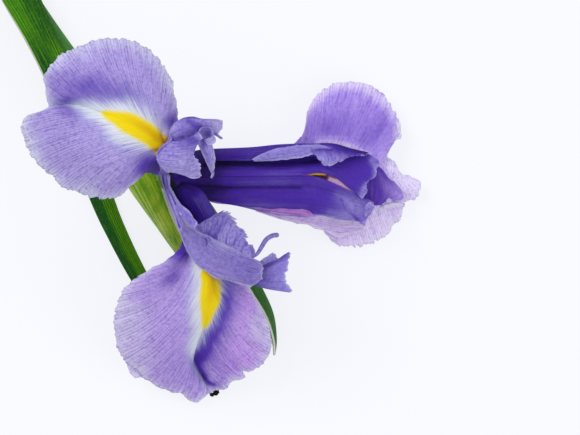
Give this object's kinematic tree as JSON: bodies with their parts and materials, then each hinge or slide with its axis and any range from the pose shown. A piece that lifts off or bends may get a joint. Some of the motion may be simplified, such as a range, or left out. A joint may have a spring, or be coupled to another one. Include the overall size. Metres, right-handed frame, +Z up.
{
  "type": "iris flower",
  "caption": "Cut Dutch iris lying on its side, with violet falls, yellow signals, style branches, standards, spathe, leaf and stalk; a decorative cut flower.",
  "frame": {"origin": "middle of the whole flower's bounding box, on the surface it lies on", "axes": "+Z up from the surface, +Y towards the stalk's cut end, +X towards the right-hand fall"},
  "size_m": [0.1342, 0.1538, 0.0514],
  "materials": {
    "violet_petal": "matte",
    "blue_violet_style": "matte",
    "leaf_green": "satin",
    "olive_spathe": "satin",
    "pale_green_tube": "satin",
    "cream_stamen": "matte"
  },
  "bodies": {
    "root": {"stem": "leaf_green", "leaf": "leaf_green", "spathe_left": "olive_spathe", "spathe_right": "leaf_green", "ovary_tube": "pale_green_tube", "fall_left": "violet_petal", "fall_lower": "violet_petal", "fall_right": "violet_petal", "standard_upper": "violet_petal", "standard_right": "violet_petal", "standard_front": "violet_petal", "style_left": "blue_violet_style", "style_lower": "blue_violet_style", "style_right": "blue_violet_style", "stamen_left": "cream_stamen", "stamen_lower": "cream_stamen", "stamen_right": "cream_stamen"}
  },
  "joints": []
}
